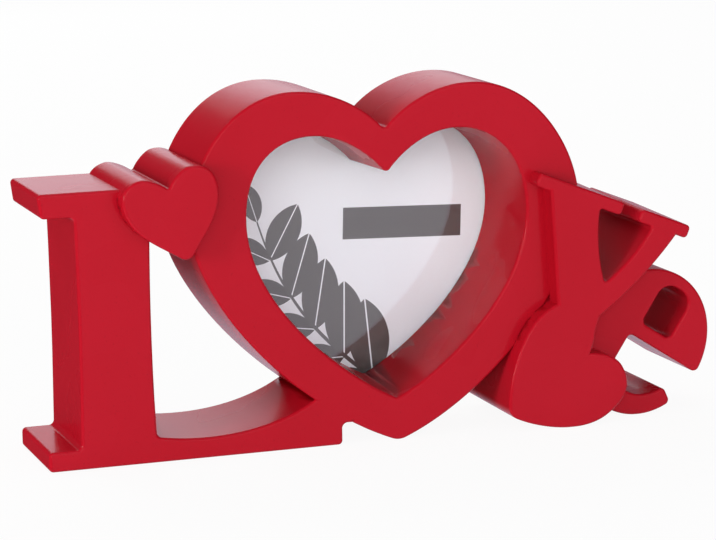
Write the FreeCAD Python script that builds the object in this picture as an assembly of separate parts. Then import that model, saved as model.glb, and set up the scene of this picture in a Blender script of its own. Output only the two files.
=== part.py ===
import FreeCAD, Part
import math
import os

# A free-standing photo frame whose heart is the second letter of a four letter word. The letters
# are thick cast blocks, bonded edge to edge and painted as one. The heart is a ring with a deep
# recess, and glass, picture card and board lie behind it in a rebate, held by four turn buttons.
# Lengths are in millimetres. Plan points are (x, z): x to the viewer's right, z up from the table.
# Depth is y, from the front faces of the plain blocks at 0 to the back.

Vector = FreeCAD.Vector

# Blocks in depth
block_depth = 38.0           # front to back of the plain blocks
raised = 6.5                 # how far the raised blocks stand in front of the plain ones
last_letter_setback = 2.0    # how far the last letter's face lies behind the plain ones
edge_round = 1.0             # round on the front edges
overrun = 5.0                # how far a cutting shape runs past what it cuts
overlap = 4.0                # how far a block is drawn into its neighbour before it is cut to it
pick_near = 0.5              # how near a corner an edge must be to be rounded with it

# First letter: an upright between two serifs, with a foot that runs into the ring
first_height = 87.0
first_serif_thick = 7.7
first_serif_reach = 11.4     # left end of the serifs to the upright
first_serif_slant = 1.0      # how far the upper serif's end leans in towards its underside
first_upright_width = 24.3
first_waist = 0.8            # how far the upright's right side is drawn in at mid height
first_left_waist = 0.4       # and how far its left side bows out into the serifs' reach
first_foot_thick = 6.3
first_foot_start = 8.2       # height of the foot's upper edge where it leaves the upright
first_foot_rise = 15.4       # and where it meets the ring
first_foot_end_height = 7.0  # height of the foot's right end
first_foot_notch = 3.4       # foot's right end to the ring's side at that height
first_corner_round = 1.4
first_fillet = 1.8

# Recess and picture opening of the heart ring
opening_half_width = 47.0
opening_height = 86.2
opening_tip_z = 13.5
opening_corner_round = 1.5
recess_side_step = 1.3       # how much the recess narrows on each side down to the glass
recess_depth = 33.5          # front face to glass

# Heart ring
ring_gap = 12.2              # first letter's upright to the ring's left side
ring_wall = 18.5             # opening to the ring's outside, where both are widest
ring_top_wall = 14.3         # opening's lobe tops to the ring's
ring_sink = 0.5              # how far the tip reaches below the table before it is ground flat
ring_tip_round = 6.0
ring_cleft_round = 1.5

# Glass, card, board and their rebate
rebate_lip = 4.0             # how far the rebate is cut back outside the opening
rebate_play = 0.4            # room round the glass, card and board
glass_thick = 1.5
card_thick = 0.3
board_thick = 2.5

# Turn buttons and their screws
button_length = 18.0
button_width = 8.0
button_thick = 1.0
button_gap = 0.1             # room between button and ring, and button and screw head
button_edge_round = 0.3
screw_inset = 5.2            # rebate wall to screw centre
screw_shank_dia = 3.0
screw_shank_length = 12.0
screw_hole_play = 0.05       # radial room of the shank in a button's hole
screw_head_dia = 6.0
screw_head_thick = 1.8
screw_head_round = 0.9
slot_length = 3.4
slot_width = 0.8
slot_depth = 0.9

# Small raised heart between the first letter and the ring
small_tip_over = 10.3        # first letter's upright to the heart's tip, to the right
small_tip_under = 23.6       # first letter's top to the tip, down
small_half_width = 15.4
small_height = 29.5
small_turn_deg = 12.7
small_tip_round = 3.0
small_cleft_round = 0.8

# Third letter: two arms from one serif line, over a heart shaped foot, all raised. Its own sizes
# are measured along the serif line from the left corner, and square to it, down.
third_lap = 16.2             # ring's right side to the letter's left corner, to the left
third_corner_z = 84.3
third_turn_deg = -21.6
third_width = 57.0
third_serif_thick = 4.3
third_back_rise = 1.3        # how much higher the serif line lies at the back than at the front
third_serif_gap = 6.5        # between the two serifs
third_right_serif = 18.6
third_outer_reach = 5.6      # outer end of the left serif to the left arm
third_inner_reach = 7.7      # and inner end to it
third_right_reach = 4.0      # outer end of the right serif to the right arm
third_right_arm = 9.2
third_counter_in = 10.5      # left arm's inner side to the point between the arms, to the right
third_counter_depth = 26.6
third_elbow_in = 16.0        # right arm's outer side to where it turns down into the foot, to the left
third_elbow_depth = 37.3
third_waist_in = 21.0        # letter's left corner to the waist, where the left arm meets the foot
third_waist_depth = 37.3
third_web_dia = 5.2          # of the webs that fill in behind the waist and behind the elbow
third_bow = 1.3              # how far the arms' edges bow out
third_corner_round = 1.3
third_counter_round = 0.9
foot_tip_left = 11.3         # letter's left corner to the tip of the heart shaped foot, to the left
foot_tip_z = 5.9
foot_half_width = 21.0
foot_height = 41.0
foot_turn_deg = -59.6
foot_tip_round = 5.0

# Fourth letter: an oval that leans over, with a closed counter over a bar and an open one below.
# Its own sizes are measured from its centre, across it and up it.
fourth_over = 40.2           # third letter's left corner to the oval's centre, to the right
fourth_sink = 0.1            # how far the oval reaches below the table before it is ground flat
fourth_turn_deg = -33.0
fourth_half_width = 22.4
fourth_half_height = 25.0
fourth_bar_low = 0.1         # underside of the bar, over the centre
fourth_bar_thick = 5.0
fourth_counter_left = 4.3
fourth_counter_right = 7.5
fourth_counter_height = 15.9
fourth_counter_round = 5.0
fourth_counter_foot_round = 2.0
fourth_gap_reach = 6.1       # blind end of the open counter, left of the centre
fourth_gap_round = 1.8
fourth_tail_across = 14.3    # inner corner of the tail's end, right of the centre
fourth_tail_low = 9.2        # and below it
fourth_tail_deg = -30.0      # where on the oval the tail's end comes out
fourth_gap_sag = 10.2        # how far the open counter's floor is drawn down from the tail
fourth_tip_round = 2.0
fourth_tail_round = 1.8

# How a heart is drawn, as shares of its half width and of its height above the tip: its cleft and
# the handle there, its lobe top and that handle's length each way, the height where it is widest
# and that handle's length up and down, and the handle at the tip.
heart_lean_share = -0.035
ring_shares = (0.881, (0.06, 0.048), 0.451, (0.22, 0.346), 0.653, (0.144, 0.247), (0.452, 0.092))
opening_shares = (0.845, (0.10, 0.072), 0.515, (0.22, 0.263), 0.692, (0.206, 0.31), (0.385, 0.105))
small_shares = (0.815, (0.053, 0.068), 0.51, (0.155, 0.282), 0.756, (0.156, 0.34), (0.368, 0.232))
foot_shares = (0.826, (0.088, 0.062), 0.496, (0.222, 0.341), 0.682, (0.216, 0.269), (0.389, 0.101))

# Other shares: how far the rebate's points reach out for each unit of its lip, the handles of the
# first letter's foot along its run and up its thickness, those along the fourth letter's floor,
# where the third letter's arms end inside their foot, where an arm bows most, and where the turn
# buttons sit along the ring's side curves.
rebate_tip_share = 1.12
rebate_cleft_share = 1.6
first_sweep_shares = ((0.22, 0.9), (0.66, 0.75))
fourth_floor_shares = (0.25, 0.85)
third_root_share = (-0.21, 0.59)
third_stem_share = (0.05, 0.77)
bow_place_share = 0.5
button_place_shares = {"upper": 0.35, "lower": 0.42}

os.makedirs("parts", exist_ok=True)


def turned(point, degrees, origin):
    """A plan point turned about (0, 0) and moved to an origin."""
    c = math.cos(math.radians(degrees))
    s = math.sin(math.radians(degrees))
    x, z = point
    return origin[0] + x * c - z * s, origin[1] + x * s + z * c


def bezier(here, move, y):
    """The curve that starts at one plan point and runs through a move's two handles to its end."""
    curve = Part.BezierCurve()
    curve.setPoles([Vector(x, y, z) for x, z in (here, *move)])
    return curve


def outline(start, moves, y):
    """A closed wire in the plane y. A move of one point is a straight run, of two points an arc
    through the first to the second, and of three points a curve with two handles."""
    edges = []
    here = start
    for move in moves:
        spots = [Vector(x, y, z) for x, z in (here, *move)]
        if len(move) == 1:
            edges.append(Part.makeLine(*spots))
        elif len(move) == 2:
            edges.append(Part.Arc(*spots).toShape())
        else:
            edges.append(bezier(here, move, y).toShape())
        here = move[-1]
    return Part.Wire(edges)


def heart_spot(tip, half_width, height, turn_deg, side, share):
    """A point of a leaning heart, from its shares across and up."""
    x = side * share[0] * half_width + heart_lean_share * share[1] * height
    return turned((x, share[1] * height), turn_deg, tip)


def heart_points(tip, half_width, height, shares, turn_deg=0.0):
    """Start point and moves of a heart, from its cleft down the right side and up the left."""
    cleft, cleft_handle, top, top_reach, widest, widest_reach, tip_handle = shares
    half = [
        (0.0, cleft),
        (cleft_handle[0], cleft + cleft_handle[1]), (top - top_reach[0], 1.0), (top, 1.0),
        (top + top_reach[1], 1.0), (1.0, widest + widest_reach[0]), (1.0, widest),
        (1.0, widest - widest_reach[1]), tip_handle, (0.0, 0.0),
    ]
    right = [heart_spot(tip, half_width, height, turn_deg, 1, share) for share in half]
    left = [heart_spot(tip, half_width, height, turn_deg, -1, share) for share in half[::-1]]
    moves = [run[i:i + 3] for run in (right, left) for i in (1, 4, 7)]
    return right[0], moves


def heart_wire(tip, half_width, height, shares, y, turn_deg=0.0):
    start, moves = heart_points(tip, half_width, height, shares, turn_deg)
    return outline(start, moves, y)


def prism(wire, depth):
    return Part.Face(wire).extrude(Vector(0, depth, 0))


def soften_corners(solid, corners, radius):
    """Rounds the edges that run back from the given plan points."""
    picked = []
    for edge in solid.Edges:
        ends = [vertex.Point for vertex in edge.Vertexes]
        if len(ends) == 2 and abs(ends[0].y - ends[1].y) > pick_near:
            front = min(ends, key=lambda point: point.y)
            if any(math.dist((front.x, front.z), corner) < pick_near for corner in corners):
                picked.append(edge)
    return solid.makeFillet(radius, picked)


def soften_front(solid, y, radius):
    """Rounds every edge that lies in the front plane y."""
    flat = [edge for edge in solid.Edges if edge.BoundBox.YMax < y + radius / 10]
    return solid.makeFillet(radius, flat)


def soften_rim(solid, blank, radius):
    """Rounds the front edges that a blank got when it was pierced."""
    kept = [edge.CenterOfMass for edge in blank.Edges]
    flat = [edge for edge in solid.Edges if edge.BoundBox.YMax < radius / 10]
    new = [edge for edge in flat if min((edge.CenterOfMass - spot).Length for spot in kept) > radius / 10]
    return solid.makeFillet(radius, new)


def ground_flat(solid):
    """Takes off what reaches below the table."""
    box = solid.BoundBox
    size = box.DiagonalLength
    corner = Vector(box.Center.x - size, box.Center.y - size, -size)
    return solid.cut(Part.makeBox(2 * size, 2 * size, size, corner))


# Heart ring: a thick cast heart with a tapered recess, a rebate at the back and four screw holes.

first_right = first_serif_reach + first_upright_width
ring_half_width = opening_half_width + ring_wall
ring_height = ring_sink + opening_tip_z + opening_height + ring_top_wall
ring_widest = ring_shares[4] * ring_height
heart_axis_x = first_right + ring_gap + ring_half_width - heart_lean_share * ring_widest


def axis_x(z):
    """Where the heart's leaning axis is at a height."""
    return heart_axis_x + heart_lean_share * (z + ring_sink)


ring_tip = (axis_x(-ring_sink), -ring_sink)
ring_start, ring_moves = heart_points(ring_tip, ring_half_width, ring_height, ring_shares)
ring_right = axis_x(ring_widest - ring_sink) + ring_half_width


def ring_side_x(z):
    """Where the ring's lower left side is at a height."""
    side = bezier(ring_moves[2][-1], ring_moves[3], 0.0)
    low, high = 0.0, 1.0
    for halving in range(40):
        middle = (low + high) / 2
        if side.value(middle).z < z:
            low = middle
        else:
            high = middle
    return side.value(low).x


def opening_points(inset):
    """The recess's outline, drawn in by an inset."""
    low = opening_tip_z + inset
    size = (opening_half_width - inset, opening_height - 2 * inset)
    return heart_points((axis_x(low), low), *size, opening_shares)


def rebate_face(play, y):
    """The rebate's outline, drawn in by some play. Its points reach further out than its sides."""
    out = rebate_lip - play
    low = opening_tip_z - out * rebate_tip_share
    height = opening_tip_z + opening_height + out - low
    cleft = opening_tip_z + opening_shares[0] * opening_height + out * rebate_cleft_share - low
    shares = (cleft / height, *opening_shares[1:])
    return Part.Face(heart_wire((axis_x(low), low), opening_half_width + out, height, shares, y))


def button_seats():
    """Each turn button's screw centre, and the way its arm points, towards the heart's middle."""
    moves = opening_points(0.0)[1]
    seats = {}
    for i, place in enumerate(("right_upper", "right_lower", "left_lower", "left_upper")):
        side, level = place.split("_")
        share = button_place_shares[level]
        if side == "left":
            share = 1.0 - share
        curve = bezier(moves[i][-1], moves[i + 1], block_depth)
        along = curve.tangent(share)[0]
        inward = Vector(along.z, 0, -along.x)
        seats[place] = (curve.value(share) - inward * (rebate_lip + screw_inset), inward)
    return seats


def make_ring_blank():
    """The ring's outside, which the blocks beside it are cut to."""
    solid = prism(outline(ring_start, ring_moves, 0.0), block_depth)
    solid = soften_corners(solid, [ring_tip], ring_tip_round)
    solid = soften_corners(solid, [ring_start], ring_cleft_round)
    return soften_front(solid, 0.0, edge_round)


def make_ring(blank):
    ends = []
    for y in (-overrun, recess_depth + overrun):
        ends.append(outline(*opening_points(recess_side_step * y / recess_depth), y))
    recess = Part.makeLoft(ends, True, True)
    front = [vertex.Point for vertex in ends[0].Vertexes]
    tip = min(front, key=lambda point: point.z)
    cleft = front[0]
    recess = soften_corners(recess, [(cleft.x, cleft.z), (tip.x, tip.z)], opening_corner_round)
    solid = soften_rim(blank.cut(recess), blank, edge_round)
    rebate_depth = block_depth - recess_depth + overrun
    solid = solid.cut(rebate_face(0.0, recess_depth).extrude(Vector(0, rebate_depth, 0)))
    for centre, inward in seats.values():
        hole = Part.makeCylinder(screw_shank_dia / 2, screw_shank_length, centre, Vector(0, -1, 0))
        solid = solid.cut(hole)
    return ground_flat(solid)


seats = button_seats()
ring_blank = make_ring_blank()
ring = make_ring(ring_blank)


# First letter: its foot is drawn into the ring and cut to the ring's outside, so that the two
# front faces run into each other.

def make_first_letter():
    left = first_serif_reach
    right = first_right
    top = first_height - first_serif_thick
    middle = first_height / 2
    meet = ring_side_x(first_foot_rise)
    end = ring_side_x(first_foot_end_height) - first_foot_notch
    handles = [(right + (meet - right) * along, first_foot_thick * up) for along, up in first_sweep_shares]
    start = (0.0, first_height)
    serif_end = (first_serif_slant, top)
    heel = (first_serif_slant, 0.0)
    heel_top = (first_serif_slant, first_foot_thick)
    toe_top = (end, first_foot_end_height)
    moves = [
        [(right, first_height)],
        [(right - first_waist, middle), (right, first_foot_start)],
        [*handles, (meet, first_foot_rise)],
        [(meet + overlap, first_foot_rise + overlap)],
        [(end + first_foot_notch + overlap, first_foot_rise)],
        [(end + first_foot_notch + overlap, first_foot_end_height)],
        [toe_top],
        [(end, 0.0)],
        [heel],
        [heel_top],
        [(left, first_foot_thick)],
        [(left + first_left_waist, middle), (left, top)],
        [serif_end],
        [start],
    ]
    solid = prism(outline(start, moves, 0.0), block_depth)
    inner = [(left, top), (left, first_foot_thick), (right, first_foot_start), toe_top]
    outer = [start, serif_end, heel_top, heel, (end, 0.0)]
    solid = soften_corners(solid, inner, first_fillet)
    solid = soften_corners(solid, outer, first_corner_round)
    solid = soften_front(solid, 0.0, edge_round)
    return solid.cut(ring_blank)


first_letter = make_first_letter()


# Small raised heart: it laps over the faces of the ring and the first letter, and fills the gap
# between them down to the back.

def make_small_heart():
    tip = (first_right + small_tip_over, first_height - small_tip_under)
    start, moves = heart_points(tip, small_half_width, small_height, small_shares, small_turn_deg)
    solid = prism(outline(start, moves, -raised), block_depth + raised)
    solid = soften_corners(solid, [tip], small_tip_round)
    solid = soften_corners(solid, [start], small_cleft_round)
    solid = soften_front(solid, -raised, edge_round)
    return solid.cut(ring_blank).cut(first_letter)


small_heart = make_small_heart()


# Fourth letter: an oval block with its two counters cut through. It stands on the oval's side.

third_corner = (ring_right - third_lap, third_corner_z)
lean = math.radians(fourth_turn_deg)
fourth_reach = math.hypot(fourth_half_height * math.cos(lean), fourth_half_width * math.sin(lean))
fourth_centre = (third_corner[0] + fourth_over, fourth_reach - fourth_sink)


def fourth_point(across, up):
    return turned((across, up), fourth_turn_deg, fourth_centre)


def fourth_cutter(start, moves):
    """A shape that cuts right through the fourth letter."""
    placed = [[fourth_point(*spot) for spot in move] for move in moves]
    wire = outline(fourth_point(*start), placed, last_letter_setback - overrun)
    return prism(wire, block_depth - last_letter_setback + 2 * overrun)


def fourth_closed_counter():
    low = fourth_bar_low + fourth_bar_thick
    high = low + fourth_counter_height
    left = -fourth_counter_left
    right = fourth_counter_right
    hole = fourth_cutter((left, low), [[(right, low)], [(right, high)], [(left, high)], [(left, low)]])
    feet = [fourth_point(left, low), fourth_point(right, low)]
    heads = [fourth_point(left, high), fourth_point(right, high)]
    hole = soften_corners(hole, feet, fourth_counter_foot_round)
    return soften_corners(hole, heads, fourth_counter_round)


def fourth_tail_ends():
    """The tail's inner corner, and its outer corner on the oval."""
    angle = math.radians(fourth_tail_deg)
    outer = (fourth_half_width * math.cos(angle), fourth_half_height * math.sin(angle))
    return (fourth_tail_across, -fourth_tail_low), outer


def fourth_open_counter():
    tail, outer = fourth_tail_ends()
    bar = fourth_bar_low
    blind = -fourth_gap_reach
    past = fourth_half_width + overrun
    run = overrun / math.dist(tail, outer)
    beyond = (outer[0] + (outer[0] - tail[0]) * run, outer[1] + (outer[1] - tail[1]) * run)
    handles = [(tail[0] + (blind - tail[0]) * share, tail[1] - fourth_gap_sag)
               for share in fourth_floor_shares]
    gap = fourth_cutter((blind, bar), [
        [(past, bar)],
        [(past, beyond[1])],
        [beyond],
        [tail],
        [*handles, (blind, tail[1])],
        [(blind, bar)],
    ])
    return soften_corners(gap, [fourth_point(blind, bar)], fourth_gap_round)


def make_fourth_letter():
    face = last_letter_setback
    long, short = max(fourth_half_height, fourth_half_width), min(fourth_half_height, fourth_half_width)
    upright_deg = 90 if long == fourth_half_height else 0
    rim = Part.Ellipse(Vector(0, 0, 0), long, short).toShape()
    rim.rotate(Vector(0, 0, 0), Vector(1, 0, 0), 90)
    rim.rotate(Vector(0, 0, 0), Vector(0, 1, 0), upright_deg - fourth_turn_deg)
    rim.translate(Vector(fourth_centre[0], face, fourth_centre[1]))
    solid = prism(Part.Wire([rim]), block_depth - face)
    solid = solid.cut(fourth_closed_counter()).cut(fourth_open_counter())
    tail, outer = fourth_tail_ends()
    bar_end = fourth_half_width * math.sqrt(1 - (fourth_bar_low / fourth_half_height) ** 2)
    solid = soften_corners(solid, [fourth_point(bar_end, fourth_bar_low)], fourth_tip_round)
    solid = soften_corners(solid, [fourth_point(*tail), fourth_point(*outer)], fourth_tail_round)
    return ground_flat(soften_front(solid, face, edge_round))


fourth_letter = make_fourth_letter()


# Third letter, raised: it stands on its heart shaped foot, laps over the faces of the ring and
# the fourth letter, and fills in behind them down to the back.

foot_tip = (third_corner[0] - foot_tip_left, foot_tip_z)


def third_point(along, down):
    """A plan point from the letter's own serif line."""
    return turned((along, -down), third_turn_deg, third_corner)


def bowed(a, b, out):
    """A move from a to b as an arc, pushed sideways by out where it bows most."""
    length = math.dist(a, b)
    x = a[0] + (b[0] - a[0]) * bow_place_share - out * (b[1] - a[1]) / length
    z = a[1] + (b[1] - a[1]) * bow_place_share + out * (b[0] - a[0]) / length
    return [(x, z), b]


def serif_wedge(start, end):
    """What makes a serif's top rise towards the back."""
    low = third_point(start, 0.0)
    high = third_point(start, -third_back_rise)
    far = third_point(end, 0.0)
    corners = [Vector(low[0], -raised, low[1]), Vector(low[0], block_depth, low[1]),
               Vector(high[0], block_depth, high[1])]
    side = Part.Face(Part.makePolygon([*corners, corners[0]]))
    return side.extrude(Vector(far[0] - low[0], 0, far[1] - low[1]))


def make_third_arms():
    """The two arms and their serifs, down to their ends inside the foot."""
    serif = third_serif_thick
    right_start = third_width - third_right_serif
    left_end = right_start - third_serif_gap
    left_arm_end = left_end - third_inner_reach
    right_arm_end = third_width - third_right_reach
    left_arm = third_point(third_outer_reach, serif)
    left_in = third_point(left_arm_end, serif)
    right_out = third_point(right_arm_end, serif)
    right_in = third_point(right_arm_end - third_right_arm, serif)
    counter = third_point(left_arm_end + third_counter_in, third_counter_depth)
    elbow = third_point(right_arm_end - third_elbow_in, third_elbow_depth)
    left_serif = [third_point(along, down) for along, down in
                  ((0.0, serif), (0.0, 0.0), (left_end, 0.0), (left_end, serif))]
    right_serif = [third_point(along, down) for along, down in
                   ((right_start, serif), (right_start, 0.0), (third_width, 0.0), (third_width, serif))]
    foot = (foot_tip, foot_half_width, foot_height, foot_turn_deg, 1)
    moves = [
        *[[spot] for spot in left_serif],
        [left_in],
        bowed(left_in, counter, -third_bow),
        bowed(counter, right_in, -third_bow),
        *[[spot] for spot in right_serif],
        [right_out],
        bowed(right_out, elbow, third_bow),
        [heart_spot(*foot, third_stem_share)],
        [heart_spot(*foot, third_root_share)],
        [left_arm],
    ]
    solid = prism(outline(left_arm, moves, -raised), block_depth + raised)
    wedges = [serif_wedge(0.0, left_end), serif_wedge(right_start, third_width)]
    solid = solid.fuse(wedges).removeSplitter()
    solid = soften_corners(solid, left_serif + right_serif, third_corner_round)
    return soften_corners(solid, [left_in, counter, right_in], third_counter_round)


def third_web(along, down, face):
    """A round web that fills the corner between two blocks, from a round's depth behind a face."""
    x, z = third_point(along, down)
    front = face + edge_round
    return Part.makeCylinder(third_web_dia / 2, block_depth - front, Vector(x, front, z), Vector(0, 1, 0))


def make_third_letter():
    foot = prism(heart_wire(foot_tip, foot_half_width, foot_height, foot_shares, -raised, foot_turn_deg),
                 block_depth + raised)
    foot = soften_corners(foot, [foot_tip], foot_tip_round)
    solid = make_third_arms().fuse(foot).removeSplitter()
    solid = ground_flat(soften_front(solid, -raised, edge_round))
    elbow_along = third_width - third_right_reach - third_elbow_in
    webs = [third_web(third_waist_in, third_waist_depth, 0.0),
            third_web(elbow_along, third_elbow_depth, last_letter_setback)]
    return solid.fuse(webs).removeSplitter().cut(ring_blank).cut(fourth_letter)


third_letter = make_third_letter()


# Glass, picture card and backing board lie one on another in the rebate.

def sheet(thick, y):
    return rebate_face(rebate_play, y).extrude(Vector(0, thick, 0))


card_y = recess_depth + glass_thick
board_y = card_y + card_thick
glass = sheet(glass_thick, recess_depth)
card = sheet(card_thick, card_y)
board = sheet(board_thick, board_y)


# Turn buttons: a flat steel strip with round ends that turns on its screw over the board's edge.

def make_button(centre, inward):
    """The strip is drawn flat from its screw along +x, then turned to point inward."""
    radius = button_width / 2
    arm = button_length - button_width
    strip = Part.makeBox(arm, button_width, button_thick, Vector(0, -radius, 0))
    ends = [Part.makeCylinder(radius, button_thick, Vector(x, 0, 0)) for x in (0.0, arm)]
    solid = strip.fuse(ends).removeSplitter()
    top = [edge for edge in solid.Edges if edge.BoundBox.ZMin > button_thick / 2]
    solid = solid.makeFillet(button_edge_round, top)
    hole = Part.makeCylinder(screw_shank_dia / 2 + screw_hole_play, button_thick)
    solid = solid.cut(hole)
    turn = math.degrees(math.atan2(inward.z, inward.x))
    solid.rotate(Vector(0, 0, 0), Vector(1, 0, 0), -90)
    solid.rotate(Vector(0, 0, 0), Vector(0, 1, 0), -turn)
    solid.translate(Vector(centre.x, block_depth + button_gap, centre.z))
    return solid


def make_screw(centre):
    seat = block_depth + 2 * button_gap + button_thick
    back = Vector(0, 1, 0)
    head = Part.makeCylinder(screw_head_dia / 2, screw_head_thick, Vector(centre.x, seat, centre.z), back)
    rim = [edge for edge in head.Edges if edge.BoundBox.YMin > seat + screw_head_thick / 2]
    head = head.makeFillet(screw_head_round, rim)
    slot_floor = seat + screw_head_thick - slot_depth
    for along, across in ((slot_length, slot_width), (slot_width, slot_length)):
        corner = Vector(centre.x - along / 2, slot_floor, centre.z - across / 2)
        head = head.cut(Part.makeBox(along, slot_depth + overrun, across, corner))
    bottom = Vector(centre.x, block_depth - screw_shank_length, centre.z)
    shank = Part.makeCylinder(screw_shank_dia / 2, seat - bottom.y, bottom, back)
    return head.fuse(shank).removeSplitter()


pieces = {
    "letter_l": first_letter,
    "heart_ring": ring,
    "small_heart": small_heart,
    "letter_v": third_letter,
    "letter_e": fourth_letter,
    "glass_pane": glass,
    "picture_card": card,
    "backing_board": board,
    "button_screws": Part.makeCompound([make_screw(centre) for centre, inward in seats.values()]),
}
for name, (centre, inward) in seats.items():
    pieces[f"turn_button_{name}"] = make_button(centre, inward)

# The part's own origin is on the table, under the middle of the whole.
whole = Part.makeCompound(list(pieces.values()))
box = whole.optimalBoundingBox(False, False)
shift = Vector(-box.Center.x, -box.Center.y, 0)
for name, shape in pieces.items():
    shape.translate(shift)
    shape.exportStep(f"parts/{name}.step")
    print(name, shape.isValid(), len(shape.Solids), round(shape.Volume, 1), shape.optimalBoundingBox())
print("whole", box, "shift", shift)
for name, (centre, inward) in seats.items():
    print("turn button axis", name, centre + shift, "arm", inward)
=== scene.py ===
import math

import bpy
from mathutils import Euler, Matrix, Vector


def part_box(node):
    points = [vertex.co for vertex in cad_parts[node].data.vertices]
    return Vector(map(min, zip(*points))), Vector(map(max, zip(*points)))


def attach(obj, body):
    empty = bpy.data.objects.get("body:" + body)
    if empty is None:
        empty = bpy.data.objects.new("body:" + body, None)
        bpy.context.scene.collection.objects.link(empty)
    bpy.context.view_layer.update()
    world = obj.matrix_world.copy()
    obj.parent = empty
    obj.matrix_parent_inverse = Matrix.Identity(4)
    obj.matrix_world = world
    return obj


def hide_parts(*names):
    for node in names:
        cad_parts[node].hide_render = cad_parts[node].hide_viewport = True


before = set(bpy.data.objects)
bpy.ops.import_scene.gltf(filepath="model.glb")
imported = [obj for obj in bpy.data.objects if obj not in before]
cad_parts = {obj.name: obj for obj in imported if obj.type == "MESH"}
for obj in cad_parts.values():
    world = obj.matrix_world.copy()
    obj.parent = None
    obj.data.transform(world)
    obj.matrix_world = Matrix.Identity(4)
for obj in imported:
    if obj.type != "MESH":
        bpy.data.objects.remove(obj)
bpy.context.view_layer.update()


# Painted blocks: five blocks of cast polyurethane resin, bonded edge to edge, filled and sanded,
# then sprayed as one with a satin red lacquer. The eye gets a deep even red with soft highlights
# along the rounded edges and a fine orange peel. Each casting is drawn here as one smooth skin.

MM = 0.001
block_names = ("letter_l", "heart_ring", "small_heart", "letter_v", "letter_e")
weld_within = 0.0005 * MM          # corners of loose triangles this near are one and the same
block_crease_deg = 32.0            # sharper edges than this stay sharp
flat_deg = 0.5                     # flatter than this, neighbouring triangles are one face


def linear(hex_colour):
    """An sRGB hex colour as linear red, green, blue and alpha."""
    parts = [int(hex_colour[i:i + 2], 16) / 255 for i in (1, 3, 5)]
    return (*[p / 12.92 if p <= 0.04045 else ((p + 0.055) / 1.055) ** 2.4 for p in parts], 1.0)


def new_material(name, **sockets):
    """A material, its tree and its Principled shader with the given sockets set."""
    material = bpy.data.materials.new(name)
    material.use_nodes = True
    shader = material.node_tree.nodes["Principled BSDF"]
    for socket, value in sockets.items():
        shader.inputs[socket.replace("_", " ")].default_value = value
    return material, material.node_tree, shader


def add(tree, kind, inputs, **settings):
    """Adds a node with its settings. An input takes a value, or another node's output."""
    node = tree.nodes.new(kind)
    for name, value in settings.items():
        setattr(node, name, value)
    for key, value in inputs.items():
        if isinstance(value, bpy.types.NodeSocket):
            tree.links.new(value, node.inputs[key])
        else:
            node.inputs[key].default_value = value
    return node


def shade(piece, material):
    piece.data.materials.clear()
    piece.data.materials.append(material)


def select_only(piece):
    bpy.ops.object.select_all(action="DESELECT")
    piece.select_set(True)
    bpy.context.view_layer.objects.active = piece


def welded_copy(node, name):
    """A copy of a node's mesh: its loose triangles are merged into one closed skin of whole faces."""
    piece = bpy.data.objects.new(name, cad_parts[node].data.copy())
    bpy.context.scene.collection.objects.link(piece)
    select_only(piece)
    bpy.ops.object.mode_set(mode="EDIT")
    bpy.ops.mesh.select_all(action="SELECT")
    bpy.ops.mesh.remove_doubles(threshold=weld_within)
    bpy.ops.mesh.dissolve_limited(angle_limit=math.radians(flat_deg))
    bpy.ops.object.mode_set(mode="OBJECT")
    return piece


def smooth_skin(piece, crease_deg):
    """Smooth shading up to a crease, with flat faces kept flat beside their rounded edges."""
    select_only(piece)
    bpy.ops.object.shade_smooth_by_angle(angle=math.radians(crease_deg))
    even = piece.modifiers.new("flat_faces_lead", "WEIGHTED_NORMAL")
    even.keep_sharp = True
    bpy.ops.object.modifier_apply(modifier="flat_faces_lead")


def red_lacquer():
    """Satin two-part lacquer, sprayed: a low, even gloss that only wakes at a glancing angle. Its
    specular level is far under the usual half, because the painted walls mirror almost nothing."""
    peel_size = 1.4 * MM           # orange peel, drawn coarser than the real 0.5 mm so it shows
    peel_depth = 0.02 * MM
    cloud_size = 45 * MM           # how the spray's thickness drifts
    fleck_size = 0.7 * MM          # dust nibs under the lacquer
    fleck_start = 0.68             # only the noise's peaks are flecks
    fleck_full = 0.8
    fleck_strength = 0.35
    material, tree, shader = new_material(
        "satin_red_lacquer_on_cast_resin", IOR=1.5, Specular_IOR_Level=0.022, Coat_Weight=0.15,
        Coat_Roughness=0.15)
    place = add(tree, "ShaderNodeTexCoord", {}).outputs["Object"]
    clouds = add(tree, "ShaderNodeTexNoise", {"Vector": place, "Scale": 1 / cloud_size, "Detail": 2.0})
    colour = add(tree, "ShaderNodeMix", {"Factor": clouds.outputs["Fac"], "A": linear("#B30E1F"),
                                         "B": linear("#BE1428")}, data_type="RGBA")
    flecks = add(tree, "ShaderNodeTexNoise", {"Vector": place, "Scale": 1 / fleck_size, "Detail": 1.0})
    sparse = add(tree, "ShaderNodeMapRange", {"Value": flecks.outputs["Fac"], "From Min": fleck_start,
                                              "From Max": fleck_full, "To Max": fleck_strength})
    tint = add(tree, "ShaderNodeMix", {"Factor": sparse.outputs["Result"], "A": colour.outputs["Result"],
                                       "B": linear("#8E0A17")}, data_type="RGBA")
    tree.links.new(tint.outputs["Result"], shader.inputs["Base Color"])
    gloss = add(tree, "ShaderNodeMapRange", {"Value": clouds.outputs["Fac"], "To Min": 0.23,
                                             "To Max": 0.31})
    tree.links.new(gloss.outputs["Result"], shader.inputs["Roughness"])
    peel = add(tree, "ShaderNodeTexNoise", {"Vector": place, "Scale": 1 / peel_size, "Detail": 1.0})
    bumpy = add(tree, "ShaderNodeBump", {"Height": peel.outputs["Fac"], "Strength": 0.15,
                                         "Distance": peel_depth})
    tree.links.new(bumpy.outputs["Normal"], shader.inputs["Normal"])
    return material


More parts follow.
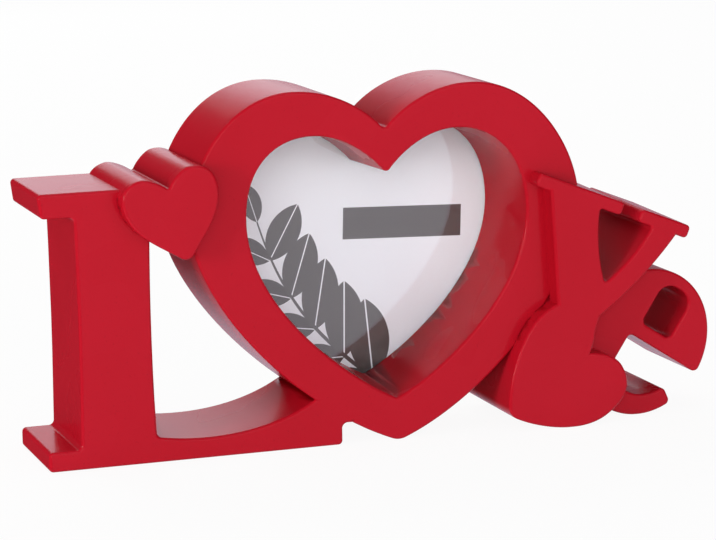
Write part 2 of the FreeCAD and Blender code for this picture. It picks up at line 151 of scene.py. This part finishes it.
lacquer = red_lacquer()
for block_name in block_names:
    block = welded_copy(block_name, block_name + "_casting")
    smooth_skin(block, block_crease_deg)
    shade(block, lacquer)
    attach(block, "frame")
    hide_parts(block_name)


# Glass: a heart cut from 1.5 mm float glass, its edge ground, at the bottom of the recess. The eye
# gets a clear pane that mirrors the red wall over the right of the print and near the tip. It is
# a hair thinner than its solid, so that the ink has room on the card behind it.

pane_ink_room = 0.1 * MM
pane_ground_edge = 0.25 * MM
pane_crease_deg = 20.0
pane_low, pane_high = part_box("glass_pane")

pane = welded_copy("glass_pane", "heart_glass")
for corner in pane.data.vertices:
    if corner.co.y > (pane_low.y + pane_high.y) / 2:
        corner.co.y = pane_high.y - pane_ink_room
pane_bevel = pane.modifiers.new("ground_edge", "BEVEL")
pane_bevel.width = pane_ground_edge
pane_bevel.segments = 2
pane_bevel.limit_method = "ANGLE"
bpy.ops.object.modifier_apply(modifier="ground_edge")
smooth_skin(pane, pane_crease_deg)


def float_glass():
    """Soda-lime float glass: IOR 1.52, almost without colour, with a trace of dust."""
    smear_size = 14 * MM
    smear_roughness = 0.03
    material, tree, shader = new_material(
        "clear_float_glass", IOR=1.52, Transmission_Weight=1.0, Base_Color=linear("#FBFDFC"))
    place = add(tree, "ShaderNodeTexCoord", {}).outputs["Object"]
    smears = add(tree, "ShaderNodeTexNoise", {"Vector": place, "Scale": 1 / smear_size, "Detail": 3.0})
    film = add(tree, "ShaderNodeMapRange", {"Value": smears.outputs["Fac"], "To Max": smear_roughness})
    tree.links.new(film.outputs["Result"], shader.inputs["Roughness"])
    return material


shade(pane, float_glass())
pane.visible_shadow = False        # so that the lamps light the card behind it
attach(pane, "frame")
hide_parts("glass_pane")


# Picture card: the 0.3 mm coated card that the frame is sold with, die cut to the heart. The eye
# gets a cool white sheet with a faint fibre and a soft sheen.

def coated_card():
    """Clay coated board: IOR 1.5, fairly matt, fibres about 0.4 mm apart."""
    fibre = 0.4 * MM
    fibre_depth = 0.02 * MM
    material, tree, shader = new_material("coated_white_card", IOR=1.5, Roughness=0.55)
    place = add(tree, "ShaderNodeTexCoord", {}).outputs["Object"]
    grain = add(tree, "ShaderNodeTexNoise", {"Vector": place, "Scale": 1 / fibre, "Detail": 3.0})
    tone = add(tree, "ShaderNodeMix", {"Factor": grain.outputs["Fac"], "A": linear("#F0EFF4"),
                                       "B": linear("#F7F6FA")}, data_type="RGBA")
    tree.links.new(tone.outputs["Result"], shader.inputs["Base Color"])
    bumpy = add(tree, "ShaderNodeBump", {"Height": grain.outputs["Fac"], "Strength": 0.1,
                                         "Distance": fibre_depth})
    tree.links.new(bumpy.outputs["Normal"], shader.inputs["Normal"])
    return material


shade(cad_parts["picture_card"], coated_card())


# Print on the card: two dark greys of ink, screened flat, in a bare label strip and a plain leafy
# branch that bleeds off the card's lower left edge. Each leaf is two halves beside a bare midrib.

ink_thick = 0.03 * MM
ink_layer = 0.004 * MM             # overlapping shapes are a layer apart, so no two share a plane
card_low, card_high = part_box("picture_card")
label_middle = Vector((17.0, 64.7)) * MM
label_size = Vector((41.3, 10.5)) * MM
label_turn_deg = -2.1

leaf_half_length = 11.0 * MM       # of the leaf that is drawn once, from its middle to its tip
leaf_half_width = 5.6 * MM         # and from its midrib to its side
leaf_outline_points = 160          # on the whole round that it is cut from
midrib_gap = 0.45 * MM


def flat_ink(name, thin_colour, full_colour):
    """Screen printed ink: matt, warm grey, with the card's fibre just showing through."""
    grain_size = 0.5 * MM
    material, tree, shader = new_material(name, IOR=1.5, Roughness=0.6)
    place = add(tree, "ShaderNodeTexCoord", {}).outputs["Object"]
    grain = add(tree, "ShaderNodeTexNoise", {"Vector": place, "Scale": 1 / grain_size, "Detail": 2.0})
    tone = add(tree, "ShaderNodeMix", {"Factor": grain.outputs["Fac"], "A": linear(full_colour),
                                       "B": linear(thin_colour)}, data_type="RGBA")
    tree.links.new(tone.outputs["Result"], shader.inputs["Base Color"])
    return material


grey_ink = flat_ink("screened_grey_ink", "#504C4A", "#474341")
dark_ink = flat_ink("screened_dark_grey_ink", "#443F3D", "#3C3735")


def draw_half_leaf():
    """Half a leaf, lying flat: a round of the right radius, cut off along the midrib."""
    radius = (leaf_half_length ** 2 + leaf_half_width ** 2) / (2 * leaf_half_width)
    bpy.ops.object.select_all(action="DESELECT")
    bpy.ops.mesh.primitive_circle_add(vertices=leaf_outline_points, radius=radius, fill_type="NGON",
                                      location=(0, 0, 0))
    half = bpy.context.active_object
    bpy.ops.object.mode_set(mode="EDIT")
    bpy.ops.mesh.select_all(action="SELECT")
    bpy.ops.mesh.bisect(plane_co=(0, radius - leaf_half_width, 0), plane_no=(0, 1, 0),
                        clear_inner=True, use_fill=False)
    bpy.ops.mesh.select_all(action="SELECT")
    bpy.ops.transform.translate(value=(0, leaf_half_width - radius + midrib_gap / 2, 0))
    bpy.ops.mesh.extrude_region_move(TRANSFORM_OT_translate={"value": (0, 0, ink_thick)})
    bpy.ops.object.mode_set(mode="OBJECT")
    return half


half_leaf = draw_half_leaf()


def place_ink(source, name, x, z, turn_deg, size, mirror, layer):
    """A copy of a flat drawing, stood up on the card: turned, sized and, if asked, mirrored."""
    piece = bpy.data.objects.new(name, source.data.copy())
    bpy.context.scene.collection.objects.link(piece)
    flip = Matrix.Scale(-1 if mirror else 1, 4, Vector((0, 1, 0)))
    stand = Matrix.Rotation(math.radians(90), 4, "X")
    turn = Matrix.Rotation(-math.radians(turn_deg), 4, "Y")
    grow = Matrix.Diagonal((size, size, 1, 1))
    move = Matrix.Translation((x, card_low.y - layer * ink_layer, z))
    piece.data.transform(move @ turn @ stand @ grow @ flip)
    return piece


# The branch's stem in millimetres, from the heart's tip up along its left side
stem_points = ((6, 13), (-4, 21), (-14, 31), (-22, 42), (-29, 55), (-33, 68))
stem_radius = 0.75 * MM            # at its foot
stem_thinning = 2 / 3              # the part of it that is gone at the top
inner_leaf_scale = 1.22            # leaves towards the middle, at the foot of the branch
outer_leaf_scale = 0.95            # and towards the card's edge
leaf_shrink = 0.06                 # how much smaller each next pair is
leaf_spread_deg = 46.0             # stem to leaf


def leaf_at(name, foot, angle_deg, scale, layer):
    """A leaf's two halves, with the leaf's foot on the stem."""
    reach = leaf_half_length * scale
    x = foot.x + reach * math.cos(math.radians(angle_deg))
    z = foot.y + reach * math.sin(math.radians(angle_deg))
    return [place_ink(half_leaf, f"{name}_{part}", x, z, angle_deg, scale, part == "b", layer)
            for part in "ab"]


def draw_stem():
    """A tapered line through the stem's points, flattened onto the card."""
    line = bpy.data.curves.new("leaf_stem", "CURVE")
    line.dimensions = "3D"
    line.bevel_depth = stem_radius
    line.use_fill_caps = True
    spline = line.splines.new("NURBS")
    spline.points.add(len(stem_points) - 1)
    for i, (x, z) in enumerate(stem_points):
        spline.points[i].co = (x * MM, z * MM, 0, 1)
        spline.points[i].radius = 1 - stem_thinning * i / (len(stem_points) - 1)
    spline.order_u = 4
    spline.use_endpoint_u = True
    curve = bpy.data.objects.new("leaf_stem", line)
    bpy.context.scene.collection.objects.link(curve)
    select_only(curve)
    bpy.ops.object.convert(target="MESH")
    curve.data.transform(Matrix.Diagonal((1, 1, ink_thick / (2 * stem_radius), 1)))
    stem = place_ink(curve, "leaf_stem_ink", 0, 0, 0, 1.0, False, 0)
    bpy.data.objects.remove(curve)
    stem.data.transform(Matrix.Translation((0, -ink_thick / 2, 0)))
    return stem


def draw_print():
    """The stem and its leaves. The leaves towards the card's edge are printed darker, and first."""
    spots = [Vector(point) * MM for point in stem_points]
    grey = [draw_stem()]
    dark = []
    for i in range(len(spots) - 1):
        along = math.degrees(math.atan2(*(spots[i + 1] - spots[i]).yx))
        shrink = 1 - leaf_shrink * i
        dark += leaf_at(f"leaf_{i}_outer", spots[i], along + leaf_spread_deg,
                        outer_leaf_scale * shrink, i + 1)
        grey += leaf_at(f"leaf_{i}_inner", spots[i], along - leaf_spread_deg,
                        inner_leaf_scale * shrink, i + len(spots))
    top_scale = outer_leaf_scale * (1 - leaf_shrink * len(spots))
    grey += leaf_at("leaf_top", spots[-1], along, top_scale, len(spots))
    return grey, dark


def draw_label():
    bpy.ops.object.select_all(action="DESELECT")
    bpy.ops.mesh.primitive_plane_add(size=1, location=(0, 0, 0))
    plate = bpy.context.active_object
    bpy.ops.object.mode_set(mode="EDIT")
    bpy.ops.transform.resize(value=(label_size.x, label_size.y, 1))
    bpy.ops.mesh.extrude_region_move(TRANSFORM_OT_translate={"value": (0, 0, ink_thick)})
    bpy.ops.object.mode_set(mode="OBJECT")
    label = place_ink(plate, "bare_label", label_middle.x, label_middle.y, label_turn_deg, 1.0,
                      False, 0)
    bpy.data.objects.remove(plate)
    return label


# All of it is cut off at the card's edge with a copy of the card that stands out past the ink
cutter_reach = 1 * MM

grey_prints, dark_prints = draw_print()
grey_prints.append(draw_label())
bpy.data.objects.remove(half_leaf)
card_cutter = welded_copy("picture_card", "card_cutter")
for corner in card_cutter.data.vertices:
    if corner.co.y < (card_low.y + card_high.y) / 2:
        corner.co.y -= cutter_reach
for piece in grey_prints + dark_prints:
    select_only(piece)
    bpy.ops.object.mode_set(mode="EDIT")
    bpy.ops.mesh.select_all(action="SELECT")
    bpy.ops.mesh.normals_make_consistent(inside=False)
    bpy.ops.object.mode_set(mode="OBJECT")
    trim = piece.modifiers.new("card_edge", "BOOLEAN")
    trim.operation = "INTERSECT"
    trim.object = card_cutter
    bpy.ops.object.modifier_apply(modifier="card_edge")
    shade(piece, dark_ink if piece in dark_prints else grey_ink)
    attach(piece, "frame")
bpy.data.objects.remove(card_cutter)


# Backing board: 2.5 mm hardboard, pressed and faced black, cut to the same heart. It holds card and
# glass in the rebate. The eye gets a dull black sheet with a short felted fibre.

def black_hardboard():
    """Pressed wood fibre, stained black: matt, with matted fibres about a millimetre apart."""
    fibre = 1.2 * MM
    fibre_depth = 0.1 * MM
    material, tree, shader = new_material("black_faced_hardboard", IOR=1.5, Roughness=0.75)
    place = add(tree, "ShaderNodeTexCoord", {}).outputs["Object"]
    felt = add(tree, "ShaderNodeTexNoise", {"Vector": place, "Scale": 1 / fibre, "Detail": 6.0,
                                            "Distortion": 1.5})
    tone = add(tree, "ShaderNodeMix", {"Factor": felt.outputs["Fac"], "A": linear("#171514"),
                                       "B": linear("#37332F")}, data_type="RGBA")
    tree.links.new(tone.outputs["Result"], shader.inputs["Base Color"])
    bumpy = add(tree, "ShaderNodeBump", {"Height": felt.outputs["Fac"], "Strength": 0.5,
                                         "Distance": fibre_depth})
    tree.links.new(bumpy.outputs["Normal"], shader.inputs["Normal"])
    return material


shade(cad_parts["backing_board"], black_hardboard())


# Turn buttons: stamped steel strip, tumbled and bright zinc plated, held by their screws. The eye
# gets a cool grey metal with the strip's fine rolling lines and a faint cloudiness of the plating.

def zinc_plate(name, line_gap, dull):
    """Bright zinc on steel: a bluish grey metal with upright rolling lines a given gap apart."""
    line_stretch = 0.06            # the lines are this much finer across than along
    line_depth = 0.02 * MM
    cloud_size = 3 * MM
    gloss_swing = 0.08
    material, tree, shader = new_material(name, Metallic=1.0)
    place = add(tree, "ShaderNodeTexCoord", {}).outputs["Object"]
    drawn = add(tree, "ShaderNodeMapping", {"Vector": place, "Scale": (1.0, 1.0, line_stretch)})
    lines = add(tree, "ShaderNodeTexNoise", {"Vector": drawn.outputs["Vector"], "Scale": 1 / line_gap,
                                             "Detail": 2.0})
    clouds = add(tree, "ShaderNodeTexNoise", {"Vector": place, "Scale": 1 / cloud_size, "Detail": 3.0})
    tone = add(tree, "ShaderNodeMix", {"Factor": clouds.outputs["Fac"], "A": linear("#A9ADB2"),
                                       "B": linear("#C6C9CC")}, data_type="RGBA")
    tree.links.new(tone.outputs["Result"], shader.inputs["Base Color"])
    gloss = add(tree, "ShaderNodeMapRange", {"Value": lines.outputs["Fac"], "To Min": dull - gloss_swing,
                                             "To Max": dull + gloss_swing})
    tree.links.new(gloss.outputs["Result"], shader.inputs["Roughness"])
    bumpy = add(tree, "ShaderNodeBump", {"Height": lines.outputs["Fac"], "Strength": 0.2,
                                         "Distance": line_depth})
    tree.links.new(bumpy.outputs["Normal"], shader.inputs["Normal"])
    return material


button_zinc = zinc_plate("bright_zinc_plated_strip", 0.35 * MM, 0.34)
for node_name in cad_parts:
    if node_name.startswith("turn_button"):
        shade(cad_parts[node_name], button_zinc)


# Screws: four cross-slotted screws, cold headed, zinc plated, driven into the ring through the turn
# buttons. Their heads are a little duller than the strip.

shade(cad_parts["button_screws"], zinc_plate("zinc_plated_screw", 0.5 * MM, 0.4))


# Floor, light and camera: a white table that runs into a white background, and soft boxes in front,
# above and behind, as in a small product studio.

floor_size = 8.0
pale_level = 0.4                   # what the pale surroundings give to matt surfaces
floor_share = 0.93                 # how much of the floor is seen as plain white
lamp_aim = Vector((0, 0, 0.05))
side_level = 0.06                  # how bright gloss sees the room beside the white sweep
front_level = 1.6                  # and in front, where the large soft boxes hang
sweep_left = (-0.05, 0.15)         # the sweep's left edge fades in here, as a unit direction's x
sweep_right = (0.15, 0.7)          # and its right edge fades out
sweep_behind = (-0.5, 0.4)         # from the bright front to the plain white behind, as its y
sweep_below = (-0.1, 0.0)          # the table at the right, from white to the sweep, as its z
table_below = (-0.5, -0.28)        # the table at the left, which is white only near the object


def seen_through(tree):
    """1 for rays from the camera or through glass, else 0, and the same for glossy rays."""
    path = add(tree, "ShaderNodeLightPath", {}).outputs
    clear = add(tree, "ShaderNodeMath", {0: path["Is Camera Ray"], 1: path["Is Transmission Ray"]},
                operation="MAXIMUM")
    return clear.outputs[0], path["Is Glossy Ray"]


def band(tree, value, low, high, at_low, at_high):
    """A smooth step from one level to another, along a value."""
    return add(tree, "ShaderNodeMapRange", {"Value": value, "From Min": low, "From Max": high,
                                            "To Min": at_low, "To Max": at_high},
               interpolation_type="SMOOTHSTEP").outputs["Result"]


def light_world():
    """Seen straight on or through glass the surroundings are white. In gloss they are white behind
    the object, brighter in front, and dim to the left and far to the right over the table."""
    world = bpy.data.worlds.new("white_studio")
    bpy.context.scene.world = world
    world.use_nodes = True
    tree = world.node_tree
    way = add(tree, "ShaderNodeTexCoord", {}).outputs["Generated"]
    axes = add(tree, "ShaderNodeSeparateXYZ", {"Vector": way}).outputs
    left = band(tree, axes["X"], *sweep_left, side_level, 1.0)
    right = band(tree, axes["X"], *sweep_right, 1.0, side_level)
    below = band(tree, axes["Z"], *sweep_below, 1.0, 0.0)
    table = band(tree, axes["Z"], *table_below, 1.0, 0.0)
    behind = band(tree, axes["Y"], *sweep_behind, front_level, 1.0)
    low_right = add(tree, "ShaderNodeMath", {0: right, 1: below}, operation="MAXIMUM").outputs[0]
    low_left = add(tree, "ShaderNodeMath", {0: left, 1: table}, operation="MAXIMUM").outputs[0]
    both = add(tree, "ShaderNodeMath", {0: low_left, 1: low_right}, operation="MULTIPLY").outputs[0]
    sweep = add(tree, "ShaderNodeMath", {0: both, 1: behind}, operation="MULTIPLY").outputs[0]
    clear, glossy = seen_through(tree)
    shiny = add(tree, "ShaderNodeMix", {"Factor": glossy, "A": pale_level,
                                        "B": sweep}).outputs["Result"]
    level = add(tree, "ShaderNodeMix", {"Factor": clear, "A": shiny, "B": 1.0}).outputs["Result"]
    tree.links.new(level, tree.nodes["Background"].inputs["Strength"])
    colour = add(tree, "ShaderNodeMix", {"Factor": glossy, "A": linear("#FFFFFF"),
                                         "B": linear("#F5EAFE")}, data_type="RGBA")
    tree.links.new(colour.outputs["Result"], tree.nodes["Background"].inputs["Color"])


def lay_floor():
    bpy.ops.object.select_all(action="DESELECT")
    bpy.ops.mesh.primitive_plane_add(size=floor_size, location=(0, 0, 0))
    floor = bpy.context.active_object
    floor.name = "table"
    floor.visible_glossy = False
    material, tree, shader = new_material("white_table", Roughness=1.0, Base_Color=linear("#FFFFFF"))
    white = add(tree, "ShaderNodeEmission", {"Color": linear("#FFFFFF"), "Strength": 1.0})
    share = add(tree, "ShaderNodeMath", {0: seen_through(tree)[0], 1: floor_share}, operation="MULTIPLY")
    both = add(tree, "ShaderNodeMixShader", {0: share.outputs[0], 1: shader.outputs[0],
                                             2: white.outputs[0]})
    tree.links.new(both.outputs[0], tree.nodes["Material Output"].inputs["Surface"])
    shade(floor, material)


def hang_lamp(name, place, width, height, power):
    """A soft box that faces the object and that the camera doesn't see."""
    bpy.ops.object.light_add(type="AREA", location=place)
    lamp = bpy.context.active_object
    lamp.name = name
    lamp.data.shape = "RECTANGLE"
    lamp.data.size = width
    lamp.data.size_y = height
    lamp.data.energy = power
    lamp.visible_camera = False
    lamp.rotation_euler = (lamp_aim - Vector(place)).to_track_quat("-Z", "Y").to_euler()


light_world()
lay_floor()
hang_lamp("front_left_soft_box", (-1.8, -0.75, 0.35), 0.5, 0.6, 14.0)
hang_lamp("front_soft_box", (-0.65, -1.9, 0.42), 1.4, 1.0, 12.6)
hang_lamp("front_right_soft_box", (0.8, -1.7, 0.5), 1.2, 0.8, 4.0)
hang_lamp("top_soft_box", (0.1, -0.1, 1.7), 1.2, 0.8, 2.0)
hang_lamp("rear_soft_box", (-0.2, 1.4, 1.4), 1.2, 0.8, 9.0)
hang_lamp("rear_low_soft_box", (0.3, 1.6, 0.42), 0.8, 0.4, 1.1)

# Where the photograph was taken from
camera_place = Vector((-0.305965, -0.879752, 0.222742))
camera_down_deg = 10.3471
camera_turn_deg = -18.9119
camera_roll_deg = -0.9579
camera_lens = 147.25               # millimetres, on film as wide as the next value
camera_film = 36.0

bpy.ops.object.camera_add(location=camera_place)
camera = bpy.context.active_object
camera.data.lens = camera_lens
camera.data.sensor_width = camera_film
look = Euler((math.radians(90 - camera_down_deg), 0, math.radians(camera_turn_deg))).to_matrix()
roll = Matrix.Rotation(math.radians(camera_roll_deg), 3, "Z")
camera.rotation_euler = (look @ roll).to_euler()
bpy.context.scene.camera = camera
bpy.context.scene.view_settings.view_transform = "Standard"
